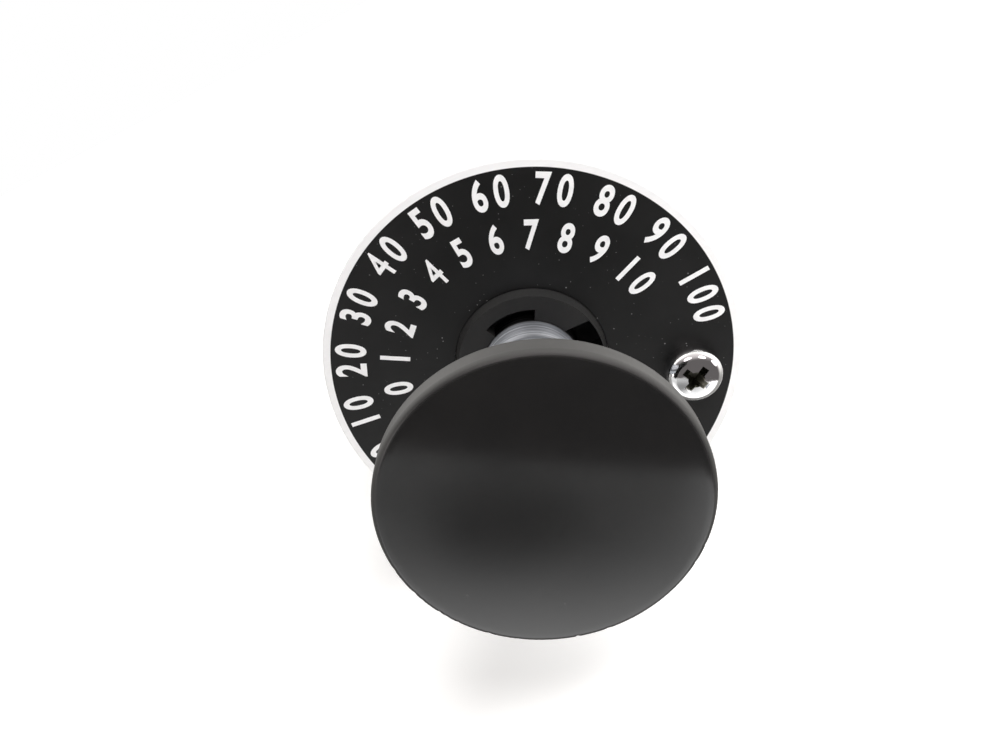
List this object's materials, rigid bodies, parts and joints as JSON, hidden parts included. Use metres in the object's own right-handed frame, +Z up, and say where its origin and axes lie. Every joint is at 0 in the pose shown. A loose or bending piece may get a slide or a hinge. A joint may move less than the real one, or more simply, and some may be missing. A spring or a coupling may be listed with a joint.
{
  "type": "air brake dash control valve",
  "caption": "Push-pull air brake dash valve: mushroom knob on a sprung steel plunger, round black nameplate, moulded body behind the dash with side ports and a rear exhaust.",
  "frame": {"origin": "where the plunger's axis crosses the mounting face, the plane of the nameplate's back", "axes": "+Y along the plunger into the dash, the way the knob is pushed; +X to the driver's right; +Z up, midway between the two nameplate screws' far sides"},
  "size_m": [0.0572, 0.103, 0.0572],
  "materials": {
    "knob": "satin moulded",
    "nameplate": "satin black print on bare aluminium",
    "chrome": "bright plated",
    "plated_steel": "turned and zinc plated",
    "spring_steel": "oiled",
    "brass": "turned",
    "body_moulding": "moulded, fine grain",
    "rubber": "matte",
    "nylon": "natural",
    "aluminium": "turned",
    "cast_cover": "die cast"
  },
  "bodies": {
    "housing": {"nameplate": "nameplate", "nameplate_screws": "chrome", "screw_inserts": "brass", "valve_body": "body_moulding", "plunger_wiper": "rubber", "stop_washer": "nylon", "return_spring": "spring_steel", "guide_spool": "aluminium", "spool_front_seal": "rubber", "spool_rear_seal": "rubber", "stem_seal": "rubber", "spool_retaining_ring": "spring_steel", "supply_port_insert": "brass", "delivery_port_insert": "brass", "rear_cover": "cast_cover", "cover_seal": "rubber", "cover_screws": "plated_steel", "cover_lock_washers": "spring_steel"},
    "push_rod": {"knob": "knob", "knob_roll_pin": "spring_steel", "plunger": "plated_steel", "inlet_exhaust_seal": "rubber", "seal_washer": "plated_steel", "plunger_lock_nut": "plated_steel"}
  },
  "joints": [
    {"name": "knob_push", "type": "slide", "parent": "housing", "child": "push_rod", "axis": [0, 1, 0], "range_m": [0, 0.0064], "stiffness_N_per_m": 1200, "springref_m": -0.012, "deforming": ["return_spring"]}
  ]
}
